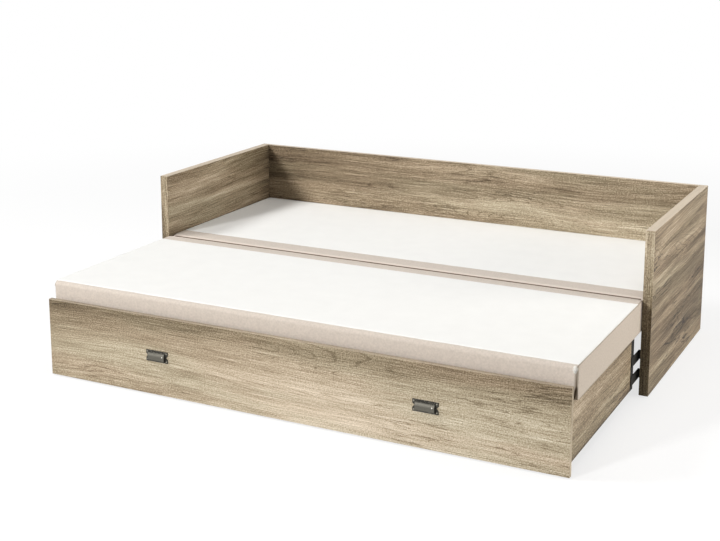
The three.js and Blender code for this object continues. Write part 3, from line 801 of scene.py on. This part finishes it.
@contextlib.contextmanager
def edited(piece):
    """Opens a piece's mesh, and writes it back afterwards."""
    shape = bmesh.new()
    shape.from_mesh(piece.data)
    yield shape
    shape.to_mesh(piece.data)
    shape.free()


def cut_row(shape, point, normal, merge, geom=None):
    """Cuts a row of edges where a plane meets the mesh."""
    geom = geom or shape.verts[:] + shape.edges[:] + shape.faces[:]
    bmesh.ops.bisect_plane(shape, geom=geom, dist=merge, plane_co=point, plane_no=normal)


def around(shape, corner_x, corner_y):
    """The faces near an upright corner, with their edges and points."""
    nearby = []
    for face in shape.faces:
        middle = face.calc_center_median()
        if abs(middle.x - corner_x) < CORNER_ZONE and middle.y < corner_y + CORNER_ZONE:
            nearby.append(face)
    return nearby + list({part for f in nearby for part in (*f.edges, *f.verts)})


def tuck_corner(piece, corner_x, corner_y, depth=0.006, reach=0.009):
    """Folds the cover in along an upright corner."""
    side = math.copysign(1, corner_x)
    with edited(piece) as shape:
        for shift in (-reach, 0.0, reach):
            point = (corner_x + side * shift, corner_y, 0)
            cut_row(shape, point, (side, 1, 0), FINE_MERGE, around(shape, corner_x, corner_y))
        for vertex in shape.verts:
            off_x, off_y = side * (vertex.co.x - corner_x), vertex.co.y - corner_y
            if max(abs(off_x), abs(off_y)) < CORNER_ZONE and vertex.co.z < TUCK_TOP:
                fade = min(1.0, (TUCK_TOP - vertex.co.z) / TUCK_FADE)
                pull = depth * fade * max(0.0, 1 - abs(off_x + off_y) / reach)
                vertex.co.x -= side * pull
                vertex.co.y += pull


def sew_lines(piece, lines, depth=0.0014, reach=0.006):
    """Cuts a row of edges at each place along y and draws the cover in beside it."""
    with edited(piece) as shape:
        for y in lines:
            cut_row(shape, (0, y, 0), (0, 1, 0), LINE_MERGE)
        shape.normal_update()
        pulls = []
        for vertex in shape.verts:
            near = min((abs(vertex.co.y - y) for y in lines), default=reach)
            if near < reach and vertex.co.z >= MATTRESS_TOP - NEAR_TOP:
                pulls.append((vertex, vertex.normal * depth * (1 - near / reach) ** 2))
        for vertex, pull in pulls:
            vertex.co -= pull


print("fold to top, in millimetres:", round((MATTRESS_TOP - TUCK_TOP) * 1000))

# %% [markdown]
# ## The seam between the halves
# Where the two halves meet, their covers are drawn down to the fabric hinge, in a shallow
# groove, and the shade deep in it is painted on the strip as a dark line. A dark stripe could
# stand for the groove, but from the end and from above its shape shows. So both halves are
# pressed down by one curve, and the hinge strip below follows the same curve.

# %% Draw the seam down
SEAM_HALF = 0.018
SEAM_DEPTH = 0.0115
SEAM_ROWS = (-0.014, -0.010, -0.006, 0.006, 0.010, 0.014)


def groove(y):
    """How far the cover is drawn down at a distance y from the seam."""
    return SEAM_DEPTH * max(0.0, 1 - abs(y) / SEAM_HALF) ** 1.6


def draw_seam(piece):
    with edited(piece) as shape:
        for y in SEAM_ROWS:
            cut_row(shape, (0, y, 0), (0, 1, 0), FINE_MERGE)
        for vertex in shape.verts:
            if abs(vertex.co.y) < SEAM_HALF:
                vertex.co.z = min(vertex.co.z, MATTRESS_TOP - groove(vertex.co.y))


print("seam depth, in millimetres:", SEAM_DEPTH * 1000)

# %% [markdown]
# ## The two halves
# The front half rides on its own body, because it folds over, and the rear half stays with the
# frame. Both could be built step by step, but one function serves, since they differ only in
# radii, in how far the front border stands forward, and in where the white lies. The block
# starts a little larger than its space, because the even mesh shrinks it by half a voxel.

# %% Make the two halves
CROWN = 0.003
BORDER_SPREAD, NOSE_SPREAD = 0.0055, 0.007
NOSE_FOOT, NOSE_SET_BACK = 0.045, 0.004
NOSE_WRAP = 0.008
FRONT_BAND, REAR_BAND = 0.063, 0.094
CORNER_INSET = 0.003
RIM_SLACK = 0.001
PAST_THE_BACK = 2.0


def upholstered_half(node, body, nose_spread, radii, white, corner=None):
    low, high = (list(end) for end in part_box(node))
    low[0] -= BORDER_SPREAD
    high[0] += BORDER_SPREAD
    low[1] -= nose_spread
    rim = VOXEL / 2 - RIM_SLACK
    block_low = [low[0] - rim + CROWN / 2, low[1] - rim, low[2] - rim]
    block_high = [high[0] + rim - CROWN / 2, high[1] + rim, high[2] + rim - CROWN]
    piece = foam_block(f"{node}_cover", block_low, block_high, *radii)
    settle_cover(piece, low, high)
    sharpen_edges(piece, low, high, nose_spread > 0)
    if nose_spread:
        for vertex in piece.data.vertices:
            under = max(0.0, 1 - (vertex.co.z - low[2]) / NOSE_FOOT)
            vertex.co.y = max(vertex.co.y, low[1] + (nose_spread + NOSE_SET_BACK) * under)
    sew_lines(piece, [y for y in white if low[1] < y < high[1]])
    draw_seam(piece)
    if corner:
        for side in (1, -1):
            tuck_corner(piece, side * corner[0], corner[1])
    piece.data.polygons.foreach_set("use_smooth", [True] * len(piece.data.polygons))
    piece.data.materials.clear()
    piece.data.materials.append(cover_finish(piece.name, *white, corner))
    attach(piece, body)
    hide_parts(node)
    print(piece.name, "triangles:", sum(len(p.vertices) - 2 for p in piece.data.polygons),
          "white from", [round(y, 4) for y in white])
    return piece


front_low, front_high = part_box("front_mattress")
rear_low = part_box("rear_mattress")[0]
front_cover = upholstered_half(
    "front_mattress", "front_mattress", NOSE_SPREAD, (0.030, 0.012, 0.003, 0.004),
    (front_low[1] + NOSE_WRAP, front_high[1] - FRONT_BAND),
    (front_high[0] + BORDER_SPREAD - CORNER_INSET, front_low[1] - NOSE_SPREAD + CORNER_INSET))
rear_cover = upholstered_half(
    "rear_mattress", "frame", 0.0, (0.012, 0.006, 0.003, 0.004),
    (rear_low[1] + REAR_BAND, PAST_THE_BACK))

# %% [markdown]
# ## Fabric hinge
# A strip of strong webbing is sewn to the top edges of both halves, so that the front half
# folds over on to the rear one. It could be two strips, one on each half, but they would tear
# apart as the mattress folds. So it is one sheet: a section that follows the groove, drawn out
# along the bed and given its thickness.

# %% Make the hinge strip
HINGE_PLACES = (-0.018, -0.014, -0.010, -0.006, -0.003, 0.0, 0.003, 0.006, 0.010, 0.014, 0.018)
HINGE_LIFT = 0.0006
HINGE_SECTION = [(y, HINGE_LIFT - groove(y)) for y in HINGE_PLACES]
HINGE_HALF = 0.994
HINGE_STEPS = 96
HINGE_WAVES = 0.0004
WEBBING = 0.0008


def hinge_strip():
    shape = bmesh.new()
    first = [shape.verts.new((-HINGE_HALF, y, MATTRESS_TOP + z)) for y, z in HINGE_SECTION]
    edges = [shape.edges.new(pair) for pair in zip(first, first[1:])]
    step = Vector((2 * HINGE_HALF / HINGE_STEPS, 0, 0))
    for _ in range(HINGE_STEPS):
        grown = bmesh.ops.extrude_edge_only(shape, edges=edges)["geom"]
        edges = [g for g in grown if isinstance(g, bmesh.types.BMEdge)]
        points = [g for g in grown if isinstance(g, bmesh.types.BMVert)]
        bmesh.ops.translate(shape, vec=step, verts=points)
    for vertex in shape.verts:
        vertex.co.z += HINGE_WAVES * noise.noise((vertex.co.x * 9, vertex.co.y * 30, 0.3))
    bmesh.ops.recalc_face_normals(shape, faces=shape.faces)
    if sum(f.normal.z for f in shape.faces) < 0:
        bmesh.ops.reverse_faces(shape, faces=shape.faces)
    strip = new_piece("mattress_hinge_strip", shape)
    thick = strip.modifiers.new("webbing", "SOLIDIFY")
    thick.thickness = WEBBING
    thick.offset = -1
    bake_modifiers(strip)
    return strip


strip = hinge_strip()
print("hinge strip faces:", len(strip.data.polygons))

# %% [markdown]
# ## Webbing
# The webbing is beige like the border, but looks dark deep in the groove. A strip this thin
# shades itself too little, so its finish turns brown by its depth below the top.

# %% Sew the hinge strip on
# heights for the painted groove shade: full below the first, gone above the second
FOLD_SHADE_DEPTHS = (MATTRESS_TOP - 0.0045, MATTRESS_TOP - 0.0025)
WEBBING_PITCH, WEBBING_RELIEF = 0.0024, 0.0002


def webbing_finish():
    material, surface = new_finish("hinge_webbing")
    _, axes, _ = place_and_facing(surface)
    # painted shade: the strip turns brown deep in the groove
    groove_shade = rest_of(between(axes[2], *FOLD_SHADE_DEPTHS))
    fill(surface, {"Base Color": mixed(groove_shade, BEIGE, CREASE_SHADE_BROWN), "Roughness": 0.85})
    bumped(surface, threads(axes[0], WEBBING_PITCH), WEBBING_RELIEF)
    return material


strip.data.materials.append(webbing_finish())
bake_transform(strip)

# %% [markdown]
# ## Pewter
# The handles are cast and plated like old pewter. The face of the cup is a dull mid grey. Dark
# patina and painted shade lie in a band above and below the cup and behind its ends, the lower
# rail is left lighter, the nails are a lighter pewter, and one rivet is painted bright as a
# highlight. Painting this by hand would need a picture. Here height and distance to the middle
# of the handle give the bands, and a blotchy noise breaks them up.

# %% Make the pewter
PULL_MIDDLE_X, PULL_MIDDLE_Z = 0.520, 0.150
# the dark colour of the patina and the painted shade in the hollows
PATINA_AND_SHADE = (0.012, 0.011, 0.009, 1)
# where each band of patina and painted shade fades in or out, from the middle of the handle
ENDS, ABOVE = (0.0335, 0.0350), (0.0105, 0.0140)
BELOW, LOWER_RAIL = (-0.0135, -0.0110), (-0.0185, -0.0170)
# how much lighter the lower rail is left inside the dark bands
LOWER_RAIL_LIGHTER = -0.65
# how high the blotchy noise stands where it breaks the bands, and where it spots the rest
BREAKS, SPOTS, SPOT_DEPTH = (0.30, 0.55), (0.55, 0.75), 0.6


def patina_and_shade_bands(axes):
    """1 above and below the cup and behind its two ends, for patina and painted shade."""
    off_middle = calc("SUBTRACT", calc("ABSOLUTE", axes[0]), PULL_MIDDLE_X)
    ends = between(calc("ABSOLUTE", off_middle), *ENDS)
    up = calc("SUBTRACT", axes[2], PULL_MIDDLE_Z)
    lower_rail = rest_of(between(up, *LOWER_RAIL))
    below = scaled(lower_rail, LOWER_RAIL_LIGHTER, rest_of(between(up, *BELOW)))
    return calc("MAXIMUM", calc("MAXIMUM", between(up, *ABOVE), below), ends)


def pewter_finish(name, colour, patina_and_shade):
    """Dull pewter. patina_and_shade is how much of the bands of patina and painted shade it shows.
    """
    material, surface = new_finish(name)
    spot, axes, _ = place_and_facing(surface)
    blotch = even_noise(spot, 260.0, 4.0)
    dark = times(patina_and_shade_bands(axes), between(blotch, *BREAKS))
    dark = calc("MAXIMUM", dark, times(between(blotch, *SPOTS), SPOT_DEPTH))
    fill(surface, {"Base Color": mixed(times(dark, patina_and_shade), colour, PATINA_AND_SHADE),
                   "Metallic": 0.6, "Roughness": scaled(dark, 0.2, 0.55)})
    bumped(surface, blotch, 0.0004)
    return material


# aged pewter with patina and painted shade, a bright pewter as a painted highlight, nail pewter
PEWTERS = (
    pewter_finish("aged_pewter_and_shade", (0.105, 0.098, 0.080, 1), 0.80),
    pewter_finish("painted_highlight_pewter", (0.70, 0.68, 0.62, 1), 0.0),
    pewter_finish("nail_pewter", (0.27, 0.255, 0.21, 1), 0.0),
)
AGED_AND_SHADED, PAINTED_HIGHLIGHT, NAILED = range(3)
print("pewters:", [m.name for m in PEWTERS])

# %% [markdown]
# ## Handles
# Each handle is a cast cup on a plate with four ears, nailed through the ears and riveted
# through the cup. It could be modelled anew, but the CAD shape already is the cast body, so a
# copy of it is dressed: its sharp edges are rounded, and nails, rivets, a rolled lip and two
# thin rails are added. In the picture the cup lies nearly flat, so the copy's cup is also
# pressed back towards its plate.


# %% Add small round pieces
def turned_to(direction):
    """The turn that points a piece's own z along a direction."""
    return Vector(direction).to_track_quat("Z", "Y").to_matrix().to_4x4()


def add_dome(shape, place, normal, head, finish):
    """A squashed ball on a face. head holds its radius and height."""
    size = Matrix.Diagonal((head[0], *head, 1))
    matrix = Matrix.Translation(place) @ turned_to(normal) @ size
    made = bmesh.ops.create_uvsphere(shape, u_segments=16, v_segments=8, radius=1.0, matrix=matrix)
    for face in {f for v in made["verts"] for f in v.link_faces}:
        face.material_index = finish
        face.smooth = True


def add_rod(shape, middle, half_length, radius):
    """A round bar that lies along x."""
    matrix = Matrix.Translation(middle) @ turned_to((1, 0, 0))
    made = bmesh.ops.create_cone(shape, cap_ends=True, segments=12, radius1=radius,
                                 radius2=radius, depth=2 * half_length, matrix=matrix)
    for face in {f for v in made["verts"] for f in v.link_faces}:
        face.smooth = len(face.verts) == 4


# %% Dress the handles
PLATE = 0.002
CUP_SHARE = 0.45
SHARP, ROUNDING = 0.6, 0.0005
EAR_NAILS = [(across, up) for across in (-0.0405, 0.0405) for up in (-0.0148, 0.0148)]
# the right rivet wears the bright pewter as a painted highlight
CUP_RIVETS = ((-0.0265, AGED_AND_SHADED), (0.0265, PAINTED_HIGHLIGHT))
NAIL_HEAD, RIVET_HEAD = (0.0030, 0.0016), (0.0026, 0.0012)
RIVET_UP, RIVET_OUT = 0.002, 0.0008
LIP_DROP, LIP_HALF, LIP_RADIUS, LIP_OUT = 0.0136, 0.0345, 0.0014, 0.0012
RAIL_RISE, RAIL_HALF, RAIL_RADIUS = 0.0198, 0.0450, 0.0010
FORWARD = (0, -1, 0)


def dressed_pull(node):
    low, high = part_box(node)
    middle = (low[0] + high[0]) / 2
    plate_y = high[1] - PLATE
    front_y = plate_y - (plate_y - low[1]) * CUP_SHARE
    shape = bmesh.new()
    shape.from_mesh(nodes[node].data)
    bmesh.ops.remove_doubles(shape, verts=shape.verts, dist=CLOSE)
    for vertex in shape.verts:
        if vertex.co.y < plate_y:
            vertex.co.y = plate_y - (plate_y - vertex.co.y) * CUP_SHARE
    shape.normal_update()
    sharp = [e for e in shape.edges if e.is_manifold and e.calc_face_angle() > SHARP]
    rounded(shape, sharp, ROUNDING, 2)
    for across, up in EAR_NAILS:
        place = (middle + across, plate_y, PULL_MIDDLE_Z + up)
        add_dome(shape, place, FORWARD, NAIL_HEAD, NAILED)
    for across, finish in CUP_RIVETS:
        place = (middle + across, front_y + RIVET_OUT, PULL_MIDDLE_Z + RIVET_UP)
        add_dome(shape, place, FORWARD, RIVET_HEAD, finish)
    lip = (middle, front_y + LIP_OUT, PULL_MIDDLE_Z - LIP_DROP)
    add_rod(shape, lip, LIP_HALF, LIP_RADIUS)
    for up in (-RAIL_RISE, RAIL_RISE):
        add_rod(shape, (middle, plate_y, PULL_MIDDLE_Z + up), RAIL_HALF, RAIL_RADIUS)
    pull = new_piece(f"{node}_dressed", shape, *PEWTERS)
    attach(pull, "drawer")
    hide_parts(node)
    print(pull.name, "faces:", len(pull.data.polygons),
          "cup depth, mm:", round((plate_y - front_y) * 1000, 1))


for node_name in ("handle_left", "handle_right"):
    dressed_pull(node_name)

# %% [markdown]
# ## Bolts of the carriage
# The black steel carriage is bolted to the end of each drawer side. Its flat bolt heads stand
# between the two arms, where they pass the guide rail when the bed closes. They are too small
# for solids of their own, so four low domes a side are set on the steel in one piece.

# %% Add the bolt heads
BOLT_HEIGHTS = (0.048, 0.111, 0.182, 0.226)
BOLT_BEHIND = 0.018
BOLT_HEAD = (0.0045, 0.0018)
for side, out in (("left", -1), ("right", 1)):
    low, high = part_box(f"drawer_side_{side}")
    face_x = max(abs(low[0]), abs(high[0])) * out
    bolts = bmesh.new()
    for up in BOLT_HEIGHTS:
        add_dome(bolts, (face_x, high[1] + BOLT_BEHIND, up), (out, 0, 0), BOLT_HEAD, 0)
    heads = new_piece(f"carriage_bolts_{side}", bolts, BLACK_STEEL)
    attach(heads, "drawer")
print("bolt heads:", 2 * len(BOLT_HEIGHTS))

# %% [markdown]
# ## Corner knot
# On top of the fold at the right front corner sits a small knot of pale cloth. A tied knot
# would be a long curve for a thing of a few pixels, and a plain ball would look like one. So a
# fine ball is stretched upright, and two sizes of noise give it an uneven, crumpled skin. It
# is half sunk in the border.

# %% Add the knot
KNOT_SIZE = (0.0075, 0.0060, 0.0120)
KNOT_FOLDS = ((0.0035, 170), (0.0020, 420))
KNOT_IN, KNOT_BEHIND, KNOT_DOWN = 0.0045, 0.0030, 0.0150
knot_cloth = coated_finish("knot_cloth", (0.60, 0.58, 0.54), 0.9, patch=0.5)
knot_place = Vector((front_high[0] - KNOT_IN, front_low[1] - NOSE_SPREAD + KNOT_BEHIND,
                     MATTRESS_TOP - KNOT_DOWN))
ball = bmesh.new()
matrix = Matrix.Translation(knot_place) @ Matrix.Diagonal((*KNOT_SIZE, 1))
bmesh.ops.create_icosphere(ball, subdivisions=4, radius=1.0, matrix=matrix)
for vertex in ball.verts:
    away = (vertex.co - knot_place).normalized()
    vertex.co += away * sum(size * noise.noise(vertex.co * scale) for size, scale in KNOT_FOLDS)
for face in ball.faces:
    face.smooth = True
knot = new_piece("corner_knot", ball, knot_cloth)
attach(knot, "front_mattress")
print("knot faces:", len(knot.data.polygons))

# %% [markdown]
# ## Floor and background
# The studio is white. More light would make the floor white too, but it would also bleach the
# bed. So the floor and the sky are white only for what sees them directly, which is the
# camera, a gloss or clear glass, and they light the bed at a plain level. The floor that the
# camera sees is part glow and part cloth, so that it still takes the bed's soft shadow.

# %% Lay the floor
FLOOR_SIZE = 60.0
FLOOR_NEAR, FLOOR_FAR = 2.0, 5.0
GLOW_NEAR, GLOW_RISE = 0.72, 0.28


def shown_to_the_eye(tree, lit, white):
    """white for the rays that show a surface, and lit for those that light another one."""
    ray = put("LightPath", tree=tree).outputs
    other = calc("MAXIMUM", ray["Is Glossy Ray"], ray["Is Transmission Ray"])
    share = calc("MAXIMUM", ray["Is Camera Ray"], other)
    return put("MixShader", {0: share, 1: lit.outputs[0], 2: white.outputs[0]}).outputs[0]


def floor_finish():
    material, surface = new_finish("studio_floor")
    fill(surface, {"Base Color": (0.50, 0.50, 0.49, 1), "Roughness": 0.9,
                   "Specular IOR Level": 0.0})
    spot, _, _ = place_and_facing(surface)
    away = put("VectorMath", {0: spot}, operation="LENGTH").outputs["Value"]
    far = between(away, FLOOR_NEAR, FLOOR_FAR)
    cloth = put("BsdfDiffuse", {"Color": mixed(far, (0.30, 0.30, 0.30, 1), (0, 0, 0, 1))})
    glow = put("Emission", {"Color": (1, 1, 1, 1), "Strength": scaled(far, GLOW_RISE, GLOW_NEAR)})
    both = put("AddShader", {0: cloth.outputs[0], 1: glow.outputs[0]})
    tree = surface.id_data
    fill(tree.nodes["Material Output"], {"Surface": shown_to_the_eye(tree, surface, both)})
    return material


sheet = bmesh.new()
bmesh.ops.create_grid(sheet, x_segments=1, y_segments=1, size=FLOOR_SIZE / 2)
floor = new_piece("studio_floor", sheet, floor_finish())
print("floor, in metres:", FLOOR_SIZE)

# %% [markdown]
# ## Light
# The picture has the broad, soft light of a product studio. One sky alone would leave every
# face the same, so five soft lamps shape it. The low key, far in front on the left, lights the
# faces that look forward. The high left lamp throws the soft shadow of the left side panel on
# the mattress. The overhead lamp evens the tops, the side lamp warms the right side panel and
# the edges of the boards, and a weak lamp fills the shadow in the right rear corner.

# %% Light the studio
SKY_LEVEL = 0.14
# each lamp: place, what it aims at, side length in metres, watts, colour
LAMPS = {
    "low_key_lamp": ((-4.68, -12.46, 4.60), (0.0, 0.0, 0.3), 1.7, 1400, (1, 1, 1)),
    "left_lamp": ((-4.9, -2.8, 5.95), (0.0, 0.0, 0.3), 2.0, 316, (1, 1, 1)),
    "overhead_lamp": ((0.9, -0.1, 4.5), (0.5, 0.1, 0.3), 3.0, 43, (1, 1, 1)),
    "corner_lamp": ((1.25, 1.0, 2.5), (0.75, 0.5, 0.3), 1.5, 12, (1, 1, 1)),
    "side_lamp": ((5.6, 1.4, 1.1), (0.3, 0.0, 0.3), 2.5, 203, (1.0, 0.955, 0.88)),
}

world = bpy.data.worlds.new("studio")
world.use_nodes = True
sky = world.node_tree
lit = sky.nodes["Background"]
fill(lit, {"Color": (1.0, 0.995, 0.985, 1), "Strength": SKY_LEVEL})
white = put("Background", {"Color": (1, 1, 1, 1), "Strength": 1.0}, tree=sky)
fill(sky.nodes["World Output"], {"Surface": shown_to_the_eye(sky, lit, white)})
bpy.context.scene.world = world

for name, (place, aim, size, watts, colour) in LAMPS.items():
    data = bpy.data.lights.new(name, "AREA")
    data.shape = "SQUARE"
    data.size = size
    data.energy = watts
    data.color = colour
    lamp = bpy.data.objects.new(name, data)
    lamp.location = place
    lamp.rotation_euler = (Vector(aim) - Vector(place)).to_track_quat("-Z", "Y").to_euler()
    bpy.context.collection.objects.link(lamp)
bpy.context.scene.view_settings.view_transform = "Standard"
print("lamps:", list(LAMPS))
